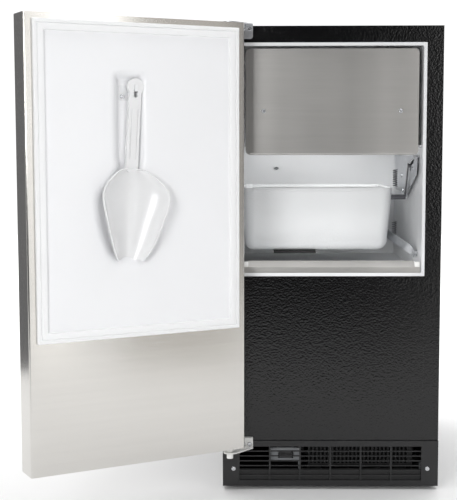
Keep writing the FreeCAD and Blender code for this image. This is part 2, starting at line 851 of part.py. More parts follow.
def upper_hinge():
    tab = box(tab_x0, leaf_x, -hinge_tab_t, -NEAR, open_top + 6, top_leaf_z + hinge_leaf_t)
    low_edges = [e for e in tab.Edges if along(e, BACK) and e.CenterOfMass.z < cab_h]
    tab = tab.makeFillet(5, low_edges)
    pin = rod(V(pivot.x, pivot.y, top_leaf_z + 0.2), -UP, hinge_pin_r, 16)
    body = fuse([leaf(top_leaf_z, -hinge_tab_t / 2), tab, pin])
    return body.cut(holes(hinge_seats[:2], -BACK))


def lower_hinge():
    front = -door_gap + SLIP
    block = box(tab_x0, leaf_x, front, -louvre_t - NEAR, low_leaf_z, low_tab_z)
    pad = box(tab_x0, leaf_x, -louvre_t - NEAR * 2, -NEAR, louvre_top + NEAR * 2, low_tab_z)
    pin = rod(V(pivot.x, pivot.y, low_leaf_z - 6), UP, hinge_pin_r, door_z - low_leaf_z + 18)
    collar = rod(V(pivot.x, pivot.y, low_leaf_z - 9), UP, 5.6, 9.5)
    body = fuse([leaf(low_leaf_z, front + 1), block, pad, pin, collar])
    sinks = [rod(s, -BACK, head_r + NEAR, 8) for s in hinge_seats[2:]]
    return body.cut(holes(hinge_seats[2:], -BACK)).cut(Part.makeCompound(sinks))


def hinge_screws():
    return Part.makeCompound([screw(s, -BACK) for s in hinge_seats])


# ---- louvre, switch and grille fixings ----
def louvre_grille():
    plate = box(-half_w, half_w, -louvre_t, -NEAR, foot_gap, louvre_top)
    front = [e for e in plate.Edges if along(e, RIGHT) and e.CenterOfMass.y < -1]
    plate = plate.makeFillet(1.2, front)
    window = box(-grille_x, grille_x, -louvre_t - 1, 1, grille_z0, grille_z1)
    bars = []
    for n in range(1, grille_posts + 1):
        x = -grille_x + n * 2 * grille_x / (grille_posts + 1)
        bars.append(box(x - post_t / 2, x + post_t / 2, -louvre_t + 0.6, -NEAR, grille_z0 - 1,
                        grille_z1 + 1))
    pitch = (grille_z1 - grille_z0) / grille_rows
    for n in range(1, grille_rows):
        z = grille_z0 + n * pitch
        bars.append(box(-grille_x - 1, grille_x + 1, -louvre_t + 1.0, -NEAR, z - slat_t / 2,
                        z + slat_t / 2))
    grille = fuse([plate.cut(window)] + bars)
    return grille.cut(holes(grille_seats, -BACK)).cut(holes(hinge_seats[2:], -BACK))


def grille_screws():
    return Part.makeCompound([screw(s, -BACK) for s in grille_seats])


def switch_plate():
    plate = box(switch_x - 28, switch_x + 24, switch_y, switch_y + 1.5, switch_z - 10,
                switch_z + 12)
    legs = [box(x, x + 1.5, switch_y + 1.5, switch_y + 9, pan_z + sheet, switch_z + 12)
            for x in (switch_x - 28, switch_x + 22.5)]
    case = box(switch_x - 15, switch_x + 15, switch_y + 1.5, switch_y + 24, switch_z - 9,
               switch_z + 9)
    body = fuse([plate, case] + legs)
    room = box(switch_x - rocker_w / 2 - 1, switch_x + rocker_w / 2 + 1, switch_y - 1,
               switch_y + 9, switch_z - rocker_h / 2 - SLIP, switch_z + rocker_h / 2 + SLIP)
    return body.cut(room)


def rocker_switch():
    cap = box(switch_x - rocker_w / 2, switch_x + rocker_w / 2, switch_y - 2.5, switch_y + 3,
              switch_z - rocker_h / 2, switch_z + rocker_h / 2)
    cap = round_edges(cap, BACK, rocker_h / 2 - 0.5)
    dish = rod(V(switch_x, switch_y - 40, switch_z - 20), UP, 38.6, 40)
    cap = cap.cut(dish)
    return turned(cap, V(switch_x, switch_y + 3, switch_z), UP, -switch_tilt)


# ---- machine room ----
def condenser():
    x0 = fan_x - condenser_w / 2
    y0 = condenser_y
    z0 = fan_z - condenser_h / 2
    core = box(x0 + 4, x0 + condenser_w - 4, y0 + 2, y0 + condenser_d - 2, z0 + 3,
               z0 + condenser_h - 3)
    pitch = 7.0
    grooves = [box(x0 + 4 + pitch * n + 2, x0 + 4 + pitch * n + pitch - 1, y0 - 1, y0 + 12,
                   z0 + 6, z0 + condenser_h - 6)
               for n in range(int((condenser_w - 12) / pitch))]
    ends = [box(x, x + 1.5, y0, y0 + condenser_d, pan_z + sheet + NEAR, z0 + condenser_h)
            for x in (x0 + 2.5, x0 + condenser_w - 4)]
    rows = int((condenser_h - 30) / 24)
    bends = []
    for n in range(rows):
        z = z0 + 20 + n * 24
        bends.append(Part.makeTorus(9, 4, V(x0 + 2.5, y0 + condenser_d / 2, z + 9), BACK)
                     .common(box(x0 - 12, x0 + 2.6, y0, y0 + condenser_d, z - 20, z + 40)))
    return fuse([core.cut(Part.makeCompound(grooves))] + ends + bends)


def fan_shroud():
    x0 = fan_x - condenser_w / 2
    z0 = fan_z - condenser_h / 2
    outer = box(x0 + 2.5, x0 + condenser_w - 2.5, shroud_y0, shroud_y0 + shroud_d, z0,
                z0 + condenser_h)
    inner = box(x0 + 4, x0 + condenser_w - 4, shroud_y0 - 1, shroud_y0 + shroud_d - 14,
                z0 + 1.5, z0 + condenser_h - 1.5)
    ring = rod(V(fan_x, shroud_y0 - 1, fan_z), BACK, fan_r + 4, shroud_d + 2)
    feet = [box(x, x + 20, shroud_y0 + 4, shroud_y0 + shroud_d - 4, pan_z + sheet + NEAR,
                z0 + 1) for x in (x0 + 8, x0 + condenser_w - 28)]
    return fuse([outer.cut(inner)] + feet).cut(ring)


def fan_motor():
    body = rod(V(fan_x, motor_y, fan_z), BACK, motor_r, 42)
    body = body.makeFillet(4, [body.Edges[0], body.Edges[2]])
    shaft = rod(V(fan_x, fan_y - 4, fan_z), BACK, shaft_r, motor_y - fan_y + 8)
    arms = []
    for n in range(3):
        arm = box(fan_x - 5, fan_x + 5, motor_y + 2, motor_y + 5, fan_z + motor_r - 4,
                  fan_z + fan_r + 12)
        hook = box(fan_x - 5, fan_x + 5, shroud_y0 + shroud_d + NEAR, motor_y + 5,
                   fan_z + fan_r + 9, fan_z + fan_r + 12)
        arms.append(turned(arm.fuse(hook), V(fan_x, 0, fan_z), BACK, 45 + n * 90))
    return fuse([body, shaft] + arms)


def fan_blade():
    hub = rod(V(fan_x, fan_y - 9, fan_z), BACK, fan_hub_r, 18)
    hub = hub.makeFillet(3, [hub.Edges[0], hub.Edges[2]])
    limit = rod(V(fan_x, fan_y - 20, fan_z), BACK, fan_r, 40)
    pieces = [hub]
    for n in range(fan_blades):
        blade = box(fan_x - 17, fan_x + 17, fan_y - 0.8, fan_y + 0.8, fan_z + fan_hub_r - 3,
                    fan_z + fan_r + 5)
        blade = turned(blade, V(fan_x, fan_y, fan_z), UP, 28)
        pieces.append(turned(blade.common(limit), V(fan_x, fan_y, fan_z), BACK,
                             n * 360 / fan_blades))
    bore = rod(V(fan_x, fan_y - 20, fan_z), BACK, shaft_r + RUN, 40)
    return fuse(pieces).cut(bore)


def compressor():
    z = pan_z + sheet + 16
    can = rod(V(comp_x, comp_y, z), UP, comp_r, comp_h)
    can = can.makeFillet(28, [can.Edges[0]])
    can = can.makeFillet(16, [e for e in can.Edges if e.CenterOfMass.z < z + 1
                              and e.Curve.TypeId == "Part::GeomCircle"][:1])
    foot = box(comp_x - 86, comp_x + 86, comp_y - 50, comp_y + 50, z - 3, z)
    foot = round_edges(foot, UP, 10)
    weld = rod(V(comp_x, comp_y, z - 1), UP, comp_r - 18, 4)
    seam = rod(V(comp_x, comp_y, z + comp_h * 0.55), UP, comp_r + 2, 4)
    terminal = box(comp_x + comp_r - 8, comp_x + comp_r + 16, comp_y - 18, comp_y + 18, z + 60,
                   z + 104)
    bolts = [rod(V(comp_x + dx, comp_y + dy, z - 9), UP, 4 + RUN, 12) for dx, dy in grommet_xy]
    return fuse([can, foot, weld, seam, terminal]).cut(Part.makeCompound(bolts))


grommet_xy = [(sx * 74, sy * 38) for sx in (-1, 1) for sy in (-1, 1)]


def compressor_grommets():
    z = pan_z + sheet + NEAR / 2
    made = []
    for dx, dy in grommet_xy:
        low = rod(V(comp_x + dx, comp_y + dy, z), UP, 9, 12.8)
        neck = rod(V(comp_x + dx, comp_y + dy, z), UP, 4, 19)
        cap = rod(V(comp_x + dx, comp_y + dy, z + 16.2), UP, 7, 3)
        made.append(fuse([low, neck, cap]))
    return Part.makeCompound(made)


def filter_drier():
    centre = V(40, cab_d - 305, 60)
    can = rod(centre, BACK, 14, 90)
    can = can.makeFillet(8, [can.Edges[0], can.Edges[2]])
    line = tube([centre + V(0, 89, 0), centre + V(0, 130, 0), centre + V(60, 130, 0),
                 centre + V(60, 130, 130)], 3.2, 16)
    cradle = box(30, 50, centre.y + 35, centre.y + 50, pan_z + sheet + NEAR / 2, 47.5)
    return fuse([can, line, cradle])


def control_box():
    y0 = cab_d - 135
    case = round_edges(box(-24, 126, y0, cab_d - 55, 190, 290), UP, 4)
    lid = box(-26, 128, y0 - 3, y0, 188, 292)
    legs = [box(x, x + 12, y0 + 10, y0 + 13, pan_z + sheet + NEAR / 2, 190) for x in (-14, 104)]
    knob = rod(V(90, y0 - 3, 262), -BACK, 9, 6)
    return fuse([case, lid, knob] + legs)


def water_valve():
    seat = V(water_x, cab_d, water_z)
    stub = rod(seat, BACK, inlet_r, inlet_len)
    flange = rod(seat - BACK * 14, BACK, fitting_r, 14 + 1.5)
    body = box(water_x - 14, water_x + 14, cab_d - 50, cab_d - 14, water_z - 12, water_z + 12)
    coil = rod(V(water_x, cab_d - 32, water_z + 12), UP, 12, 30)
    base = box(water_x - 12, water_x + 12, cab_d - 46, cab_d - 18, pan_z + sheet + NEAR / 2,
               water_z - 12)
    bore = rod(seat - BACK * 20, BACK, inlet_r - 2, 20 + inlet_len + 1)
    return fuse([stub, flange, body, coil, base]).cut(bore)


def drain_tube():
    """Drain from the compartment floor to the rear connector."""
    top = drain_seat - UP * (liner_wall + NEAR)
    route = [top, V(drain_x, drain_seat.y, foam_z - 20), V(drain_x, cab_d - 45, 200),
             V(drain_x, cab_d - 45, drain_z), V(drain_x, cab_d + outlet_len, drain_z)]
    pipe = tube(route, outlet_r, 24, outlet_r - 2)
    collar = rod(V(drain_x, cab_d - 4, drain_z), BACK, fitting_r, 4 + 1.5)
    collar = collar.cut(rod(V(drain_x, cab_d - 5, drain_z), BACK, outlet_r - 1, 20))
    return pipe.fuse(collar).removeSplitter()


def power_inlet():
    """Rear gland that the supply cord passes through, without its cord."""
    seat = V(power_x, cab_d, power_z)
    body = rod(seat - BACK * 12, BACK, fitting_r, 14.0)
    nut = prism_y([(power_x + 15 * math.cos(math.radians(60 * n)),
                    power_z + 15 * math.sin(math.radians(60 * n))) for n in range(6)],
                  cab_d + NEAR, cab_d + 6)
    dome = rod(seat + BACK * 6, BACK, fitting_r - 1, 9)
    inside = rod(seat - BACK * (sheet + NEAR), -BACK, 14, 5)
    bore = rod(seat - BACK * 20, BACK, gland_bore, 60)
    return fuse([body, nut, dome, inside]).cut(bore)


def foot(x, y):
    pad = rod(V(x, y, 0), UP, foot_r, foot_pad)
    pad = pad.makeFillet(1.2, [pad.Edges[0], pad.Edges[2]])
    nut = prism_z([(x + 7 * math.cos(math.radians(60 * n)), y + 7 * math.sin(math.radians(60 * n)))
                   for n in range(6)], foot_pad - 1, foot_gap - SLIP / 2)
    stem = rod(V(x, y, 1), UP, foot_stem_r, foot_gap + foot_travel + 6)
    return fuse([pad, nut, stem])


# ---- door, modelled closed ----
def door_box(inset):
    return box(-half_w + inset, half_w - inset, door_outer + inset, door_inner - inset,
               door_z + inset, door_top - inset)


top_bush = V(pivot.x, pivot.y, door_top)
low_bush = V(pivot.x, pivot.y, door_z)


def bush_holes(grow):
    r = bush_room + grow
    return Part.makeCompound([rod(top_bush + UP, -UP, r, bush_len + 1 + grow),
                              rod(low_bush - UP, UP, r, bush_len + 1 + grow)])


def door_skin():
    outer = round_edges(door_box(0), UP, 2.5)
    window = box(-panel_half, panel_half, door_inner - 3, door_inner + 3, panel_z0, panel_z1)
    posts = holes(handle_seats, BACK, 4)
    return outer.cut(door_box(skin_t)).cut(window).cut(bush_holes(NEAR)).cut(
        holes(top_plate_seats, UP)).cut(posts)


def pocket(grow, depth):
    """Pear-shaped recess behind the scoop, with a neck up to the holder."""
    g = grow
    neck = scoop_loop_r * 2 + 3
    wide = scoop_w / 2 + 6
    top = scoop_top + lift_range + 3
    half = [(neck + g, top + g), (neck + g, scoop_neck + 24), (wide + g, scoop_neck - 32 + g / 2),
            (wide * 0.55 + g, scoop_tip - 11 - g)]
    outline = [(pocket_x + dx, z) for dx, z in half]
    outline += [(pocket_x - dx, z) for dx, z in reversed(half)]
    solid = prism_y(outline, door_inner - depth, door_inner + 5)
    return round_edges(solid, BACK, 17)


def door_liner():
    t = panel_t
    panel = box(-panel_half + NEAR, panel_half - NEAR, door_inner - t, door_inner,
                panel_z0 + NEAR, panel_z1 - NEAR)
    back = box(-panel_half - 6, panel_half + 6, door_inner - skin_t - NEAR - t,
               door_inner - skin_t - NEAR, panel_z0 - 6, panel_z1 + 6)
    tray = pocket(t, pocket_depth + t).common(box(-300, 300, door_outer, door_inner, 0, 900))
    body = fuse([panel, back, tray]).cut(pocket(0, pocket_depth))
    return body.cut(holes(holder_seats, BACK))


def door_foam():
    block = door_box(skin_t + NEAR)
    t = panel_t
    room = [box(-panel_half - 7, panel_half + 7, door_inner - skin_t - t - NEAR * 2, 0,
                panel_z0 - 7, panel_z1 + 7), pocket(t + NEAR, pocket_depth + t + NEAR)]
    return (block.cut(Part.makeCompound(room)).cut(bush_holes(NEAR * 2))
            .cut(holes(top_plate_seats, UP)).cut(holes(holder_seats, BACK))
            .cut(holes(handle_seats, BACK)).cut(head_rooms(handle_seats, BACK)))


def door_gasket():
    x1 = half_w - gasket_side
    z1 = door_top - gasket_top
    y0 = door_inner + NEAR / 2
    outer = round_edges(box(-x1, x1, y0, y0 + gasket_t, gasket_z, z1), BACK, 4)
    inner = box(-x1 + gasket_w, x1 - gasket_w, y0 - 1, y0 + gasket_t + 1, gasket_z + gasket_w,
                z1 - gasket_w)
    inner = round_edges(inner, BACK, 4)
    ring = outer.cut(inner)
    for step in (5.0, 10.5, 15.5):
        groove = box(-x1 + step, x1 - step, y0 + gasket_t - 1.5, y0 + gasket_t + 1,
                     gasket_z + step, z1 - step)
        core = box(-x1 + step + 1, x1 - step - 1, y0, y0 + gasket_t + 2, gasket_z + step + 1,
                   z1 - step - 1)
        ring = ring.cut(groove.cut(core))
    return ring


top_plate_seats = [V(pivot.x + dx, pivot.y, door_top + top_plate_t) for dx in (42, 60)]


def door_top_plate():
    plate = box(pivot.x - 9, pivot.x + 74, pivot.y - 12, pivot.y + 12, door_top + NEAR / 2,
                door_top + top_plate_t)
    plate = round_edges(plate, UP, 4)
    hole = rod(V(pivot.x, pivot.y, door_top - 1), UP, bush_r + NEAR, 5)
    return plate.cut(hole).cut(holes(top_plate_seats, UP))


def hinge_bushings():
    top = fuse([rod(top_bush + UP * top_plate_t, -UP, bush_room, bush_len + top_plate_t),
                rod(top_bush + UP * NEAR, UP, bush_r, top_plate_t)])
    low = fuse([rod(low_bush - UP * 8, UP, bush_room, bush_len + 8),
                rod(low_bush - UP * 8, UP, bush_r + 2, 7.8)])
    bores = [rod(top_bush + UP * 5, -UP, hinge_pin_r + RUN, 21),
             rod(low_bush - UP * 9, UP, hinge_pin_r + RUN, 25)]
    return Part.makeCompound([top.cut(bores[0]), low.cut(bores[1])])


holder_seats = [V(pocket_x + dx, holder_y + holder_t, peg_z - 10.4) for dx in (-8, 8)]


def scoop_holder():
    """Small plate with a peg that the scoop's handle hangs on."""
    plate = box(pocket_x - holder_w / 2, pocket_x + holder_w / 2, holder_y + NEAR / 2,
                holder_y + holder_t, peg_z - 17, peg_z + 7)
    plate = round_edges(plate, BACK, 3)
    tip_y = scoop_y + scoop_handle_t + SLIP
    peg = rod(V(peg_x, holder_y + 1, peg_z), BACK, peg_r, tip_y - holder_y)
    hook = box(peg_x - peg_r * 0.8, peg_x + peg_r * 0.8, tip_y, tip_y + 2,
               peg_z - peg_r * 0.5, peg_z + peg_r + hook_rise)
    return fuse([plate, peg, hook]).cut(holes(holder_seats, BACK))


def door_screws():
    return Part.makeCompound([screw(s, UP) for s in top_plate_seats]
                             + [screw(s, BACK) for s in holder_seats]
                             + [screw(s, BACK) for s in handle_seats])


handle_posts = [handle_z0 + 30, handle_z1 - 30]
handle_seats = [V(handle_x, door_outer + skin_t + 2 * NEAR, z) for z in handle_posts]


def door_handle():
    bar = rod(V(handle_x, handle_y, handle_z0), UP, handle_r, handle_z1 - handle_z0)
    bar = bar.makeFillet(2, [bar.Edges[0], bar.Edges[2]])
    posts = [rod(V(handle_x, handle_y, z), BACK, 6, handle_reach - NEAR / 2)
             for z in handle_posts]
    return fuse([bar] + posts).cut(holes(handle_seats, BACK))


# ---- scoop, hung in the recess ----
def bowl_sections(inset):
    """Half-round sections of the bowl: height, half width and depth from back to rim."""
    full = scoop_w / 2
    length = scoop_neck - scoop_tip
    rows = [(0, 0.19, 0.30), (0.03, 0.44, 0.42), (0.10, 0.68, 0.62), (0.19, 0.90, 0.84),
            (0.30, 1.0, 0.97), (0.44, 0.95, 1.0), (0.68, 0.76, 0.94), (0.93, 0.50, 0.74),
            (1.0, 0.38, 0.62)]
    wires = []
    for down, wide, deep in rows:
        w = full * wide - inset
        z = scoop_neck - length * down
        y_back = scoop_y + inset
        y_rim = scoop_y + scoop_depth * deep + (1.5 if inset else 0)
        if down == 1.0:
            z -= inset
        else:
            z -= inset * 1.2 if down == 0 else 0
        arc = Part.Arc(V(peg_x - w, y_rim, z), V(peg_x, y_back, z), V(peg_x + w, y_rim, z))
        line = Part.LineSegment(V(peg_x + w, y_rim, z), V(peg_x - w, y_rim, z))
        wires.append(Part.Wire([arc.toShape(), line.toShape()]))
    return wires


def scoop():
    """Scoop hung aslant from its peg, with an upright slot that lets it lift."""
    outer = Part.makeLoft(bowl_sections(0), True, False)
    inner = Part.makeLoft(bowl_sections(scoop_wall), True, False)
    hw = scoop_handle_w / 2
    y1 = scoop_y + scoop_handle_t
    grip = box(peg_x - hw, peg_x + hw, scoop_y, y1, scoop_neck - 6, peg_z)
    grip = round_edges(grip, BACK, 6)
    loop_z = scoop_top - scoop_loop_r
    loop = rod(V(peg_x, scoop_y, loop_z), BACK, scoop_loop_r, scoop_handle_t)
    top_rib = peg_z - lift_range - peg_r * 2 - 16
    ribs = [box(x, x + 1.6, y1 - 1.2, y1 + 1, scoop_neck + 14, top_rib)
            for x in (peg_x - hw + 4, peg_x + hw - 5.6)]
    body = fuse([outer.cut(inner), grip, loop]).cut(Part.makeCompound(ribs))
    body = turned(body, V(peg_x, scoop_y, peg_z), BACK, -scoop_tilt)
    slot = box(peg_x - peg_r - 0.4, peg_x + peg_r + 0.4, scoop_y - 2, y1 + 2,
               peg_z - peg_r - lift_range - 1, peg_z + peg_r + 0.3)
    return body.cut(round_edges(slot, BACK, peg_r))


# ---- build every piece ----
save("side_panel_right", side_panel())
save("side_panel_left", mirrored(side_panel()))
save("top_panel", top_panel())
save("lower_front_panel", lower_front_panel())
save("rear_panel", rear_panel())
save("base_pan", base_pan())
save("insulation_foam", insulation_foam())
save("liner", liner())
save("sill_trim", sill_trim())
save("evaporator_cover", evaporator_cover())
save("evaporator_frame", spray_hole(evaporator_frame()))
save("evaporator_plate", evaporator_plate())
save("evaporator_coil", evaporator_coil())
save("cutter_grid", cutter_grid())
save("water_trough", water_trough())
save("water_tube", water_tube())
save("circulation_pump", circulation_pump())
save("pump_hose", pump_hose())
save("bin_bracket", bin_bracket())
save("compartment_screws", compartment_screws())
save("bin_pivot_pins", bin_pivot_pins())
save("bin_thermostat", bin_thermostat())
save("upper_hinge", upper_hinge())
save("lower_hinge", lower_hinge())
save("hinge_screws", hinge_screws())
save("louvre_grille", louvre_grille())
save("grille_screws", grille_screws())
save("switch_plate", switch_plate())
save("compressor", compressor())
save("compressor_grommets", compressor_grommets())
save("filter_drier", filter_drier())
save("condenser", condenser())
save("fan_shroud", fan_shroud())
save("fan_motor", fan_motor())
save("control_box", control_box())
save("water_valve", water_valve())
save("drain_tube", drain_tube())
save("power_inlet", power_inlet())
save("bin_tub", bin_tub())
save("bin_seal", bin_seal())
save("bin_arm_left", bin_arm_left())
save("bin_arm_right", bin_arm_right())
save("bin_guide", bin_guide())
save("bin_screws", bin_screws())
save("door_skin", opened(door_skin()))
save("door_foam", opened(door_foam()))
save("door_liner", opened(door_liner()))
save("door_gasket", opened(door_gasket()))
save("door_top_plate", opened(door_top_plate()))
save("hinge_bushings", opened(hinge_bushings()))
save("door_screws", opened(door_screws()))
save("scoop_holder", opened(scoop_holder()))
save("door_handle", opened(door_handle()))
save("scoop", opened(scoop()))
save("rocker_switch", rocker_switch())
save("fan_blade", fan_blade())
for name, (x, y) in zip(("front_left", "rear_left", "front_right", "rear_right"), foot_places):
    save("foot_" + name, foot(x, y))
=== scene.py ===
import bpy
import bmesh
import json
import math
from mathutils import Matrix, Vector


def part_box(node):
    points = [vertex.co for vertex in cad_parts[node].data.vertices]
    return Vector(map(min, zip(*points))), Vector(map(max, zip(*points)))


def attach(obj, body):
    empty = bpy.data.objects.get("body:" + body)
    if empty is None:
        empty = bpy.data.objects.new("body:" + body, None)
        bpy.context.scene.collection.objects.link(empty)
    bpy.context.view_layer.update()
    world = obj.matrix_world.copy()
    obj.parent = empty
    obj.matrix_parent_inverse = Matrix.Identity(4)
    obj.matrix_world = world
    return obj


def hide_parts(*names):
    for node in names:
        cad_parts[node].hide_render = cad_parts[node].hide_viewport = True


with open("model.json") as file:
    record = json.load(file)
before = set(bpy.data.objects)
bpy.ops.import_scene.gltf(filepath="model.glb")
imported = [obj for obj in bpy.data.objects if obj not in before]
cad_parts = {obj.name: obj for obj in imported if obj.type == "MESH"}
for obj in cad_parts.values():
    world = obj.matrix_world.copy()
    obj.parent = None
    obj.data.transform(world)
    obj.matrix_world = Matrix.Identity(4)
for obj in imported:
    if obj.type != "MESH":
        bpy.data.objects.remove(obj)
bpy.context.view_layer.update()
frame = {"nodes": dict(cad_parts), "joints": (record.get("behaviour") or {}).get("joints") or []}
nodes = frame["nodes"]
scene = bpy.context.scene
print("frame loaded:", len(nodes), "nodes")

# the whole machine seen from the front and a little above, angles in radians
camera = dict(place=(-0.15811, -1.96468, 0.60989), down=0.09466, turn=-0.01026, roll=-0.00197,
              lens=82.07, sensor=36.0, near=0.05, far=60.0)


def makeCamera():
    data = bpy.data.cameras.new("camera")
    data.sensor_width = camera["sensor"]
    data.lens = camera["lens"]
    data.clip_start = camera["near"]
    data.clip_end = camera["far"]
    down, turn, roll = camera["down"], camera["turn"], camera["roll"]
    ahead = Vector((math.sin(turn) * math.cos(down), math.cos(turn) * math.cos(down),
                    -math.sin(down)))
    right = Vector((math.cos(turn), -math.sin(turn), 0))
    up = right.cross(ahead)
    across = right * math.cos(roll) + up * math.sin(roll)
    above = up * math.cos(roll) - right * math.sin(roll)
    turnMatrix = Matrix((across, above, -ahead)).transposed().to_4x4()
    body = bpy.data.objects.new("camera", data)
    body.matrix_world = Matrix.Translation(camera["place"]) @ turnMatrix
    scene.collection.objects.link(body)
    scene.camera = body


makeCamera()


class Wire:
    # a socket in a material's node tree, which takes part in sums
    def __init__(self, tree, socket=None):
        self.tree = tree
        self.socket = socket

    def make(self, kind, settings=None, inputs=None, out=0):
        node = self.tree.nodes.new(kind)
        for key, value in (settings or {}).items():
            if key == "stops":
                ramp = node.color_ramp
                while len(ramp.elements) < len(value):
                    ramp.elements.new(0.5)
                for element, (spot, shade) in zip(ramp.elements, value):
                    element.position = spot
                    element.color = shade if len(shade) == 4 else (*shade, 1)
            else:
                setattr(node, key, value)
        for key, value in (inputs or {}).items():
            if isinstance(value, Wire):
                self.tree.links.new(value.socket, node.inputs[key])
            else:
                node.inputs[key].default_value = value
        return Wire(self.tree, node.outputs[out])

    def sum(self, operation, a, b):
        return self.make("ShaderNodeMath", {"operation": operation}, {0: a, 1: b})

    def __add__(self, other):
        return self.sum("ADD", self, other)

    def __radd__(self, other):
        return self.sum("ADD", other, self)

    def __sub__(self, other):
        return self.sum("SUBTRACT", self, other)

    def __rsub__(self, other):
        return self.sum("SUBTRACT", other, self)

    def __mul__(self, other):
        return self.sum("MULTIPLY", self, other)

    def __rmul__(self, other):
        return self.sum("MULTIPLY", other, self)


def newMaterial(name, fixed):
    mat = bpy.data.materials.new(name)
    mat.use_nodes = True
    tree = mat.node_tree
    shader = tree.nodes["Principled BSDF"]
    for key, value in fixed.items():
        shader.inputs[key].default_value = value
    return mat, Wire(tree), shader


def feed(wire, shader, name):
    wire.tree.links.new(wire.socket, shader.inputs[name])


def place(w, scale=(1, 1, 1)):
    coords = w.make("ShaderNodeTexCoord", out=3)
    return w.make("ShaderNodeMapping", None, {"Vector": coords, "Scale": scale})


def noise(w, coords, scale, detail=3.0, rough=0.55):
    return w.make("ShaderNodeTexNoise", None, {"Vector": coords, "Scale": scale,
                                               "Detail": detail, "Roughness": rough})


def blend(w, factor, a, b):
    return w.make("ShaderNodeMix", {"data_type": "RGBA"}, {0: factor, 6: a, 7: b}, out=2)


def bump(w, height, strength, distance):
    return w.make("ShaderNodeBump", None, {"Height": height, "Strength": strength,
                                           "Distance": distance})


def rgb(r, g, b):
    return (r, g, b, 1.0)


vinylGrain = dict(cell=340.0, warp=119.0, pebble=238.0, fine=900.0, cellShare=0.7,
                  pebbleShare=0.9, warpShare=0.5, fineShare=0.12, depth=0.0005, strength=0.6,
                  rough=0.10, spread=0.07, dark=(0.0015, 0.0015, 0.0017),
                  light=(0.004, 0.004, 0.0043))


def leatherVinyl():
    mat, w, shader = newMaterial("blackLeatherVinyl", {"Specular IOR Level": 0.5})
    g = vinylGrain
    coords = place(w)
    warp = noise(w, coords, g["warp"], 2.0)
    cells = w.make("ShaderNodeTexVoronoi", {"feature": "SMOOTH_F1"},
                   {"Vector": coords, "Scale": g["cell"], "Smoothness": 0.6, "Randomness": 1.0})
    pebble = noise(w, coords, g["pebble"], 4.0, 0.6)
    fine = noise(w, coords, g["fine"], 2.0)
    height = (cells * g["cellShare"] + pebble * g["pebbleShare"] + warp * g["warpShare"]
              + fine * g["fineShare"])
    feed(bump(w, height, g["strength"], g["depth"]), shader, "Normal")
    feed(blend(w, pebble, rgb(*g["dark"]), rgb(*g["light"])), shader, "Base Color")
    feed(g["rough"] + warp * g["spread"], shader, "Roughness")
    return mat


# the last two entries shape the painted reflection bands: their upright stretch and their dark
# and light tones
brushing = dict(hair=15.0, wide=2.25, cloud=5.0, hairShare=0.55, wideShare=0.45, depth=0.00002,
                strength=0.10, cloudRough=0.08, level=(1.0, 1.0, 60.0), upright=(60.0, 60.0, 1.0),
                paintedBandAlong=(1.0, 1.0, 0.02), paintedBandStops=[(0.35, (0.78, 0.78, 0.78)),
                                                       (0.65, (1.0, 1.0, 1.0))])


def brushed(name, light, dark, rough, spread, along=brushing["level"], paintedReflectionBand=None):
    # fine lines along the steel; where a band scale is given, broad upright bands of painted
    # reflection darken and lighten the colour
    b = brushing
    mat, w, shader = newMaterial(name, {"Metallic": 1.0})
    coords = place(w, along)
    hair = noise(w, coords, b["hair"], 4.0, 0.65)
    wide = noise(w, coords, b["wide"], 2.0)
    cloud = noise(w, place(w), b["cloud"], 2.0)
    mask = hair * b["hairShare"] + wide * b["wideShare"]
    colour = blend(w, mask, rgb(*dark), rgb(*light))
    if paintedReflectionBand:
        # painted reflection: upright bands multiplied into the base colour, standing in for the
        # soft bands the surroundings reflect in the steel
        paintedBandNoise = noise(w, place(w, b["paintedBandAlong"]), paintedReflectionBand, 1.5)
        shade = w.make("ShaderNodeValToRGB", {"stops": b["paintedBandStops"]}, {"Fac": paintedBandNoise})
        colour = w.make("ShaderNodeMix", {"data_type": "RGBA", "blend_type": "MULTIPLY"},
                        {0: 1.0, 6: colour, 7: shade}, out=2)
    feed(colour, shader, "Base Color")
    feed(rough + (hair - 0.5) * spread + (cloud - 0.5) * b["cloudRough"], shader, "Roughness")
    feed(bump(w, hair, b["strength"], b["depth"]), shader, "Normal")
    return mat


moulding = dict(drift=7.0, driftRough=0.10, peelRough=0.05)


def moulded(name, colour, rough, grain=900.0, strength=0.08, tint=0.04, depth=0.0002):
    # plastic with a faint orange peel and a slow drift of tone
    mat, w, shader = newMaterial(name, {"Specular IOR Level": 0.5})
    coords = place(w)
    peel = noise(w, coords, grain, 3.0)
    drift = noise(w, coords, moulding["drift"], 2.0)
    darker = tuple(c * (1 - tint) for c in colour)
    feed(blend(w, drift, rgb(*darker), rgb(*colour)), shader, "Base Color")
    feed(rough + (drift - 0.5) * moulding["driftRough"] + (peel - 0.5) * moulding["peelRough"],
         shader, "Roughness")
    feed(bump(w, peel, strength, depth), shader, "Normal")
    return mat


spangle = dict(flakes=150.0, haze=60.0, flakeShare=0.6, hazeShare=0.4, rough=0.30, spread=0.22,
               strength=0.1, depth=0.0002, dark=(0.44, 0.45, 0.47), light=(0.66, 0.67, 0.69))


def galvanised():
    c = spangle
    mat, w, shader = newMaterial("galvanised", {"Metallic": 1.0})
    coords = place(w)
    flakes = w.make("ShaderNodeTexVoronoi", {"feature": "F1"},
                    {"Vector": coords, "Scale": c["flakes"], "Randomness": 1.0}, out=1)
    grey = w.make("ShaderNodeRGBToBW", None, {"Color": flakes})
    haze = noise(w, coords, c["haze"], 3.0)
    mask = grey * c["flakeShare"] + haze * c["hazeShare"]
    feed(blend(w, mask, rgb(*c["dark"]), rgb(*c["light"])), shader, "Base Color")
    feed(c["rough"] + mask * c["spread"], shader, "Roughness")
    feed(bump(w, haze, c["strength"], c["depth"]), shader, "Normal")
    return mat


enamelCoat = dict(ripple=120.0, dust=24.0, dustGain=1.8, dustLift=0.006, spread=0.15,
                  strength=0.12, depth=0.0004)


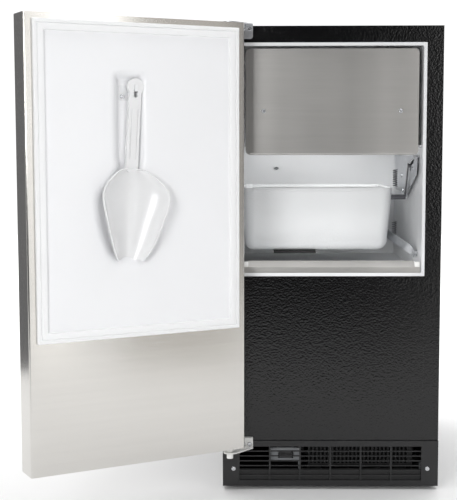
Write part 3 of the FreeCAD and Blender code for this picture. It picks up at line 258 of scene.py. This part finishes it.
def enamel(name, colour, rough):
    # glossy black paint with a film of paler dust
    c = enamelCoat
    mat, w, shader = newMaterial(name, {"Coat Weight": 0.4, "Coat Roughness": 0.1})
    coords = place(w)
    ripple = noise(w, coords, c["ripple"], 2.0)
    dust = noise(w, coords, c["dust"], 5.0, 0.7)
    dusty = tuple(tone * c["dustGain"] + c["dustLift"] for tone in colour)
    feed(blend(w, dust, rgb(*colour), rgb(*dusty)), shader, "Base Color")
    feed(rough + dust * c["spread"], shader, "Roughness")
    feed(bump(w, ripple, c["strength"], c["depth"]), shader, "Normal")
    return mat


drawing = dict(stain=45.0, lines=700.0, spread=0.2, strength=0.1, depth=0.0001)


def drawnMetal(name, light, dark, rough):
    mat, w, shader = newMaterial(name, {"Metallic": 1.0})
    coords = place(w)
    stain = noise(w, coords, drawing["stain"], 5.0, 0.7)
    lines = noise(w, coords, drawing["lines"], 2.0)
    feed(blend(w, stain, rgb(*dark), rgb(*light)), shader, "Base Color")
    feed(rough + (stain - 0.5) * drawing["spread"], shader, "Roughness")
    feed(bump(w, lines, drawing["strength"], drawing["depth"]), shader, "Normal")
    return mat


foamCells = dict(cell=400.0, tone=12.0, rough=0.9, strength=0.5, depth=0.0006,
                 dark=(0.72, 0.62, 0.38), light=(0.84, 0.77, 0.55))


def foamed():
    c = foamCells
    mat, w, shader = newMaterial("foam", {"Roughness": c["rough"]})
    coords = place(w)
    cells = w.make("ShaderNodeTexVoronoi", {"feature": "F1"},
                   {"Vector": coords, "Scale": c["cell"]})
    tone = noise(w, coords, c["tone"], 4.0)
    feed(blend(w, tone, rgb(*c["dark"]), rgb(*c["light"])), shader, "Base Color")
    feed(bump(w, cells, c["strength"], c["depth"]), shader, "Normal")
    return mat


frosting = dict(through=0.16, ior=1.46, shine=0.6, swirl=30.0, grain=1400.0, rough=0.16,
                spread=0.16, strength=0.08, depth=0.0001, dark=(0.93, 0.935, 0.94),
                light=(0.98, 0.98, 0.985))


def clearScoop():
    c = frosting
    mat, w, shader = newMaterial("frostedClear", {
        "Transmission Weight": c["through"], "IOR": c["ior"], "Specular IOR Level": c["shine"]})
    coords = place(w)
    swirl = noise(w, coords, c["swirl"], 3.0)
    grain = noise(w, coords, c["grain"], 2.0)
    feed(blend(w, swirl, rgb(*c["dark"]), rgb(*c["light"])), shader, "Base Color")
    feed(c["rough"] + swirl * c["spread"], shader, "Roughness")
    feed(bump(w, grain, c["strength"], c["depth"]), shader, "Normal")
    return mat


finishes = {
    "vinyl": leatherVinyl(),
    "steel": brushed("brushedDoorSteel", (0.70, 0.685, 0.655), (0.60, 0.585, 0.56), 0.17, 0.06),
    # the cover steel carries painted reflection bands in its colour
    "coverSteel": brushed("brushedCoverSteel", (0.58, 0.57, 0.55), (0.46, 0.45, 0.435), 0.36,
                          0.10, paintedReflectionBand=9.0),
    "barSteel": brushed("brushedBarSteel", (0.66, 0.65, 0.64), (0.50, 0.50, 0.49), 0.28, 0.10,
                        along=brushing["upright"]),
    "liner": moulded("whiteLiner", (0.84, 0.85, 0.86), 0.30),
    "panel": moulded("whiteDoorPanel", (0.93, 0.935, 0.95), 0.34, strength=0.06),
    "bin": moulded("whiteBin", (0.86, 0.87, 0.875), 0.28),
    "gasket": moulded("whiteGasketVinyl", (0.94, 0.945, 0.95), 0.42, 1500.0, 0.05),
    "nylon": moulded("whiteNylon", (0.83, 0.83, 0.81), 0.38),
    "louvre": moulded("blackLouvrePlastic", (0.010, 0.010, 0.011), 0.32, 1600.0, 0.35, 0.3,
                      depth=0.0003),
    "greyPlastic": moulded("greyPlastic", (0.23, 0.24, 0.25), 0.42),
    "blackPlastic": moulded("blackPlastic", (0.014, 0.014, 0.015), 0.35, 1400.0, 0.2, 0.3),
    "rubber": moulded("blackRubber", (0.018, 0.018, 0.018), 0.7, 1800.0, 0.3, 0.3),
    "galvanised": galvanised(),
    "wireSteel": drawnMetal("darkWireSteel", (0.20, 0.20, 0.21), (0.10, 0.10, 0.11), 0.38),
    "enamel": enamel("blackEnamel", (0.012, 0.012, 0.013), 0.25),
    "copper": drawnMetal("copperTube", (0.86, 0.47, 0.30), (0.55, 0.25, 0.14), 0.30),
    "aluminium": drawnMetal("millAluminium", (0.80, 0.81, 0.83), (0.62, 0.63, 0.65), 0.36),
    # near-black: partly the condenser's own black paint, darkened further as painted shade for
    # the dark space behind the louvre
    "blackFinsAndShade": moulded("blackFinsPaintedShade", (0.006, 0.006, 0.0065), 0.6, 400.0, 0.2, 0.4),
    "screw": drawnMetal("zincScrew", (0.74, 0.75, 0.77), (0.50, 0.51, 0.53), 0.25),
    "foam": foamed(),
    "clear": clearScoop(),
}
print("finishes made:", len(finishes))

nodeFinish = {
    "vinyl": "side_panel_left side_panel_right top_panel lower_front_panel",
    "galvanised": "rear_panel bin_bracket upper_hinge control_box bin_arm_left "
                  "bin_arm_right door_top_plate",
    "steel": "door_skin evaporator_plate cutter_grid",
    "coverSteel": "evaporator_cover sill_trim",
    "barSteel": "door_handle",
    "liner": "liner evaporator_frame water_trough water_tube scoop_holder",
    "panel": "door_liner",
    "bin": "bin_tub",
    "gasket": "door_gasket",
    "nylon": "lower_hinge hinge_bushings",
    "louvre": "louvre_grille",
    "greyPlastic": "bin_thermostat circulation_pump switch_plate water_valve drain_tube "
                   "foot_front_left foot_rear_left foot_front_right foot_rear_right",
    "blackPlastic": "power_inlet rocker_switch",
    "rubber": "compressor_grommets bin_seal",
    "wireSteel": "bin_guide",
    "enamel": "compressor fan_motor",
    "copper": "evaporator_coil filter_drier",
    "aluminium": "fan_blade",
    # the base pan is galvanised; it and the fan shroud wear this near-black finish as painted
    # shade behind the louvre, and the condenser is darkened past its own black
    "blackFinsAndShade": "condenser base_pan fan_shroud",
    "screw": "compartment_screws hinge_screws grille_screws bin_screws door_screws "
             "bin_pivot_pins",
    "foam": "insulation_foam door_foam",
    "clear": "scoop pump_hose",
}
for finish, names in nodeFinish.items():
    for name in names.split():
        mesh = nodes[name].data
        mesh.materials.clear()
        mesh.materials.append(finishes[finish])
print("CAD nodes dressed")

# where the door stands when it is open
hinge = next(j for j in frame["joints"] if j["name"] == "door_hinge")
hingeAt = Vector((hinge["pos_m"][0], hinge["pos_m"][1], 0))
doorTurn = (Matrix.Translation(hingeAt)
            @ Matrix.Rotation(-math.radians(hinge["range_deg"][1]), 4, "Z")
            @ Matrix.Translation(-hingeAt))


def closedBox(name):
    # a door node's box with the door shut, in metres
    points = [doorTurn.inverted() @ v.co for v in nodes[name].data.vertices]
    return (Vector([min(p[i] for p in points) for i in range(3)]),
            Vector([max(p[i] for p in points) for i in range(3)]))


def addPiece(bm, name, body, finish, smooth=True, turn=None):
    if turn:
        bmesh.ops.transform(bm, matrix=turn, verts=bm.verts)
    bmesh.ops.recalc_face_normals(bm, faces=bm.faces)
    mesh = bpy.data.meshes.new(name)
    bm.to_mesh(mesh)
    bm.free()
    for face in mesh.polygons:
        face.use_smooth = smooth
    piece = bpy.data.objects.new(name, mesh)
    scene.collection.objects.link(piece)
    mesh.materials.append(finishes[finish])
    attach(piece, body)
    return piece


gasket = dict(wall=0.78, softEdge=0.00035,
              steps=[(0.0010, 0.0009), (0.0046, 0.0003), (0.0005, -0.0016),
                     (0.0006, 0.0), (0.0005, 0.0016), (0.0045, 0.0004),
                     (0.0045, -0.0004), (0.0006, -0.0030), (0.0012, -0.0020)])


def makeGasket():
    # a soft ring with rolled lips, each step an inset and a rise or fall
    low, high = closedBox("door_gasket")
    bm = bmesh.new()
    bmesh.ops.create_grid(bm, x_segments=1, y_segments=1, size=0.5)
    bmesh.ops.rotate(bm, matrix=Matrix.Rotation(math.radians(90), 3, "X"), verts=bm.verts)
    bmesh.ops.scale(bm, vec=(high.x - low.x, 1, high.z - low.z), verts=bm.verts)
    bmesh.ops.translate(bm, vec=((low.x + high.x) / 2, low.y, (low.z + high.z) / 2),
                        verts=bm.verts)
    bm.normal_update()
    bm.faces.ensure_lookup_table()
    face = bm.faces[0]
    if face.normal.y < 0:
        bmesh.ops.reverse_faces(bm, faces=[face])
    rise = bmesh.ops.extrude_face_region(bm, geom=[face])
    bmesh.ops.delete(bm, geom=[face], context="FACES_ONLY")
    top = next(f for f in rise["geom"] if isinstance(f, bmesh.types.BMFace))
    bmesh.ops.translate(bm, vec=(0, (high.y - low.y) * gasket["wall"], 0), verts=top.verts)
    for inset, climb in gasket["steps"]:
        bmesh.ops.inset_region(bm, faces=[top], thickness=inset, depth=climb,
                               use_even_offset=True)
    bmesh.ops.delete(bm, geom=[top], context="FACES_ONLY")
    rims = [e for e in bm.edges if e.is_boundary]
    bmesh.ops.bridge_loops(bm, edges=rims)
    piece = addPiece(bm, "gasketLips", "door", "gasket", False, doorTurn)
    soft = piece.modifiers.new("soft", "BEVEL")
    soft.width = gasket["softEdge"]
    soft.segments = 2
    soft.limit_method = "ANGLE"
    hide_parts("door_gasket")


makeGasket()
print("gasket made")


recess = dict(soft=0.028, neckSoft=0.014, cells=(96, 150), wall=0.0018, neckHalf=0.0300,
              bowlHalf=0.064, tipNarrowing=0.028, endGap=0.011, waist=0.33, shoulder=0.056,
              softStart=0.02, softRun=0.05, border=0.006, clear=0.0004)


def makeInnerPanel():
    # a moulded sheet with a shallow recess behind the scoop, its edges softly rolled
    low, high = closedBox("door_liner")
    plateLow, plateHigh = closedBox("scoop_holder")
    scoopLow, scoopHigh = closedBox("scoop")
    centre = (plateLow.x + plateHigh.x) / 2
    faceY = high.y
    depth = faceY - plateLow.y
    topZ = scoopHigh.z + recess["endGap"]
    bottomZ = scoopLow.z - recess["endGap"]
    waistZ = scoopLow.z + (scoopHigh.z - scoopLow.z) * recess["waist"]
    neckZ = waistZ + recess["shoulder"]
    wide = high.x - low.x - 2 * recess["border"] - recess["clear"]
    tall = high.z - low.z - 2 * recess["border"] - recess["clear"]
    bm = bmesh.new()
    bmesh.ops.create_grid(bm, x_segments=recess["cells"][0], y_segments=recess["cells"][1],
                          size=0.5)
    bmesh.ops.rotate(bm, matrix=Matrix.Rotation(math.radians(90), 3, "X"), verts=bm.verts)
    bmesh.ops.scale(bm, vec=(wide, 1, tall), verts=bm.verts)
    bmesh.ops.translate(bm, vec=((low.x + high.x) / 2, faceY, (low.z + high.z) / 2),
                        verts=bm.verts)

    def ease(value):
        share = min(max(value, 0), 1)
        return share * share * (3 - 2 * share)

    def halfWidth(z):
        # the outline's half width at a height: straight neck, swelling to the bowl, then in
        if z > neckZ:
            return recess["neckHalf"]
        if z > waistZ:
            share = ease((neckZ - z) / (neckZ - waistZ))
            return recess["neckHalf"] + (recess["bowlHalf"] - recess["neckHalf"]) * share
        share = (waistZ - z) / (waistZ - bottomZ)
        return recess["bowlHalf"] - recess["tipNarrowing"] * share * share

    for v in bm.verts:
        x, z = abs(v.co.x - centre), v.co.z
        share = ease((neckZ + recess["softStart"] - z) / recess["softRun"])
        soft = recess["neckSoft"] + (recess["soft"] - recess["neckSoft"]) * share
        across = ease((halfWidth(min(max(z, bottomZ), topZ)) - x) / soft)
        endwise = ease((topZ - z) / recess["neckSoft"]) * ease((z - bottomZ) / recess["soft"])
        v.co.y -= depth * across * endwise
    piece = addPiece(bm, "innerPanel", "door", "panel", True, doorTurn)
    wall = piece.modifiers.new("wall", "SOLIDIFY")
    wall.thickness = recess["wall"]
    wall.offset = -1.0
    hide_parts("door_liner")


makeInnerPanel()
print("inner panel made")

binRim = dict(proud=0.0030, tall=0.0075, inset=0.016, back=0.0004, edge=0.0013, sag=0.0016,
              cuts=15)


def makeBinRim():
    # the rolled front lip of the bin, which sags a little in the middle
    low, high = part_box("bin_tub")
    halfX = (high[0] - low[0]) / 2 - binRim["inset"]
    midX = (high[0] + low[0]) / 2
    frontY = low[1] + binRim["back"]
    bm = bmesh.new()
    bmesh.ops.create_cube(bm, size=1.0)
    bmesh.ops.scale(bm, vec=(2 * halfX, binRim["proud"], binRim["tall"]), verts=bm.verts)
    bmesh.ops.translate(bm, vec=(midX, frontY, high[2] - binRim["tall"] / 2), verts=bm.verts)
    bmesh.ops.bevel(bm, geom=bm.edges[:], offset=binRim["edge"], affect="EDGES", segments=3,
                    profile=0.5, material=-1)
    longEdges = [e for e in bm.edges if abs(e.verts[0].co.x - e.verts[1].co.x) > halfX]
    bmesh.ops.subdivide_edges(bm, edges=longEdges, cuts=binRim["cuts"],
                              use_grid_fill=True)
    for v in bm.verts:
        share = (v.co.x - midX) / halfX
        v.co.z -= binRim["sag"] * (1 - share * share)
    addPiece(bm, "binRim", "bin", "bin")


coilSpring = dict(turns=9, radius=0.0038, wire=0.0008, rise=0.0034, steps=14,
                  guideFoot=(0.0052, 0.124, 0.0005), armFoot=(0.0072, 0.146, 0.0200))


def makeSpring(name, foot):
    # a small return spring, wound by a spin that also climbs
    c = coilSpring
    bm = bmesh.new()
    bmesh.ops.create_circle(bm, cap_ends=True, segments=8, radius=c["wire"])
    bmesh.ops.rotate(bm, matrix=Matrix.Rotation(math.radians(90), 3, "X"), verts=bm.verts)
    bmesh.ops.translate(bm, vec=(c["radius"], 0, 0), verts=bm.verts)
    bmesh.ops.spin(bm, geom=bm.faces[:], cent=(0, 0, 0), axis=(0, 0, 1),
                   dvec=(0, 0, c["rise"] / c["steps"]), angle=math.tau * c["turns"],
                   steps=c["turns"] * c["steps"], use_duplicate=False)
    bmesh.ops.translate(bm, vec=foot, verts=bm.verts)
    addPiece(bm, name, "bin", "wireSteel")


sillEnd = dict(wide=0.0095, deep=0.0085, tall=0.0185, edge=0.0012, fromEnd=0.0045,
               back=0.0012, lift=0.0004)


def makeSillEnds():
    # the white end caps of the sill strip
    low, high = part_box("sill_trim")
    inset = sillEnd["fromEnd"]
    for side, x in (("Left", low[0] + inset), ("Right", high[0] - inset)):
        bm = bmesh.new()
        bmesh.ops.create_cube(bm, size=1.0)
        bmesh.ops.scale(bm, vec=(sillEnd["wide"], sillEnd["deep"], sillEnd["tall"]),
                        verts=bm.verts)
        bmesh.ops.bevel(bm, geom=bm.edges[:], offset=sillEnd["edge"], affect="EDGES",
                        segments=2, profile=0.5, material=-1)
        bmesh.ops.translate(bm, vec=(x, low[1] + sillEnd["back"] + sillEnd["deep"] / 2,
                                     low[2] + sillEnd["lift"] + sillEnd["tall"] / 2),
                            verts=bm.verts)
        addPiece(bm, "sillEnd" + side, "cabinet", "nylon")


makeBinRim()
tubLow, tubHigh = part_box("bin_tub")
outX, atY, upZ = coilSpring["guideFoot"]  # out from the tub's side, and up from its top
makeSpring("guideSpring", (tubHigh[0] + outX, atY, tubHigh[2] + upZ))
outX, atY, upZ = coilSpring["armFoot"]  # up from the tub's underside
makeSpring("armSpring", (tubHigh[0] + outX, atY, tubLow[2] + upZ))
makeSillEnds()
print("bin rim, springs and sill ends made")

studio = dict(floorHalf=5.6, pale=(0.92, 0.92, 0.92), far=(0.03, 0.03, 0.03), fadeFrom=-2.3,
              fadeTo=-0.9, floorRough=0.8, sky=(1.0, 1.0, 1.0), front=(0.045, 0.045, 0.048),
              frontTo=0.34, skyFrom=0.60, strength=1.1)


def makeStudio():
    # the pale floor darkens well in front of the machine, so its black faces stay dark
    mesh = bpy.data.meshes.new("floor")
    bm = bmesh.new()
    bmesh.ops.create_grid(bm, x_segments=2, y_segments=2, size=studio["floorHalf"])
    bm.to_mesh(mesh)
    bm.free()
    floor = bpy.data.objects.new("floor", mesh)
    scene.collection.objects.link(floor)
    mat, w, shader = newMaterial("paleFloor", {"Roughness": studio["floorRough"]})
    y = w.make("ShaderNodeSeparateXYZ", None, {0: place(w)}, out=1)
    nearness = w.make("ShaderNodeMapRange", {"interpolation_type": "SMOOTHSTEP"},
                      {"Value": y, "From Min": studio["fadeFrom"], "From Max": studio["fadeTo"]})
    feed(blend(w, nearness, rgb(*studio["far"]), rgb(*studio["pale"])), shader, "Base Color")
    mesh.materials.append(mat)

    world = bpy.data.worlds.new("studio")
    scene.world = world
    world.use_nodes = True
    tree = world.node_tree
    w = Wire(tree)
    coords = w.make("ShaderNodeTexCoord", out=0)
    split = w.make("ShaderNodeSeparateXYZ", None, {0: coords}, out=1)
    ramp = w.make("ShaderNodeValToRGB", {"stops": [(studio["frontTo"], studio["front"]),
                                                   (studio["skyFrom"], studio["sky"])]},
                  {"Fac": split * 0.5 + 0.5})
    tree.links.new(ramp.socket, tree.nodes["Background"].inputs["Color"])
    tree.nodes["Background"].inputs["Strength"].default_value = studio["strength"]


# watts and metres; the last three stand in for light that bounces round the compartment
lamps = [
    dict(name="key", place=(-1.3, -2.2, 2.4), aim=(0.0, 0.0, 0.4), size=(1.2, 1.0), power=7.0),
    dict(name="frontLeft", place=(-1.15, -2.7, 0.9), aim=(0.05, 0.2, 0.5), size=(0.8, 0.7),
         power=27.0),
    dict(name="frontRight", place=(1.15, -2.7, 0.75), aim=(0.0, 0.2, 0.5), size=(0.6, 0.6),
         power=6.0),
    dict(name="side", place=(2.15, -2.15, 1.0), aim=(-0.35, -0.1, 0.45), size=(0.4, 2.3),
         power=11.0),
    dict(name="top", place=(0.0, -0.6, 2.9), aim=(0.0, 0.1, 0.2), size=(2.4, 1.4), power=26.0),
    dict(name="behind", place=(0.0, 3.6, 1.7), aim=(0.0, 3.6, 0.0), size=(8.0, 4.4),
         power=170.0),
    dict(name="underCover", place=(0.0, 0.150, 0.582), aim=(0.03, 0.36, 0.50), size=(0.26, 0.04),
         power=0.20, spread=2.9),
    dict(name="overSill", place=(0.0, -0.028, 0.414), aim=(0.0, 0.2, 0.394), size=(0.27, 0.02),
         power=0.040, spread=2.3),
    dict(name="underBin", place=(0.0, 0.10, 0.412), aim=(0.0, 0.07, 0.385), size=(0.26, 0.04),
         power=0.030, spread=2.9),
]


def makeLamps():
    for lamp in lamps:
        data = bpy.data.lights.new(lamp["name"], "AREA")
        data.shape = "RECTANGLE"
        data.size, data.size_y = lamp["size"]
        data.energy = lamp["power"]
        data.spread = lamp.get("spread", math.pi)
        body = bpy.data.objects.new(lamp["name"], data)
        spot = Vector(lamp["place"])
        turn = (Vector(lamp["aim"]) - spot).to_track_quat("-Z", "Y")
        body.matrix_world = Matrix.Translation(spot) @ turn.to_matrix().to_4x4()
        body.visible_camera = False
        scene.collection.objects.link(body)


cards = [
    dict(name="brightCard", place=(0.51, -1.13), aim=(-0.45, -0.25), wide=0.17, tall=1.7,
         shade=(1.35, 1.34, 1.32)),
    dict(name="greyCard", place=(0.775, -0.863), aim=(-0.27, -0.09), wide=0.34, tall=1.7,
         shade=(0.62, 0.60, 0.57)),
    dict(name="darkCard", place=(0.385, -1.245), aim=(-0.52, -0.3), wide=0.07, tall=1.7,
         shade=(0.30, 0.30, 0.30)),
    dict(name="endCard", place=(-1.45, 0.62), aim=(-0.5, -0.3), wide=0.9, tall=1.9,
         shade=(0.16, 0.16, 0.165)),
]


def makeCards():
    # upright cards that only show in the reflections of the polished steel
    for card in cards:
        mesh = bpy.data.meshes.new(card["name"])
        bm = bmesh.new()
        bmesh.ops.create_grid(bm, x_segments=1, y_segments=1, size=0.5)
        bmesh.ops.scale(bm, vec=(card["wide"], card["tall"], 1), verts=bm.verts)
        spot = Vector((*card["place"], card["tall"] / 2))
        ahead = Vector((*card["aim"], card["tall"] / 2)) - spot
        turn = ahead.to_track_quat("Z", "Y").to_matrix().to_4x4()
        bmesh.ops.transform(bm, matrix=Matrix.Translation(spot) @ turn, verts=bm.verts)
        bm.to_mesh(mesh)
        bm.free()
        body = bpy.data.objects.new(card["name"], mesh)
        glow = newMaterial(card["name"], {"Base Color": rgb(0, 0, 0), "Roughness": 1.0,
                                          "Emission Color": rgb(*card["shade"]),
                                          "Emission Strength": 1.0})
        mesh.materials.append(glow[0])
        scene.collection.objects.link(body)
        body.visible_camera = False
        body.visible_diffuse = False
        body.visible_shadow = False
        body.visible_transmission = False


makeStudio()
makeLamps()
makeCards()
scene.view_settings.view_transform = "Standard"
print("studio ready")
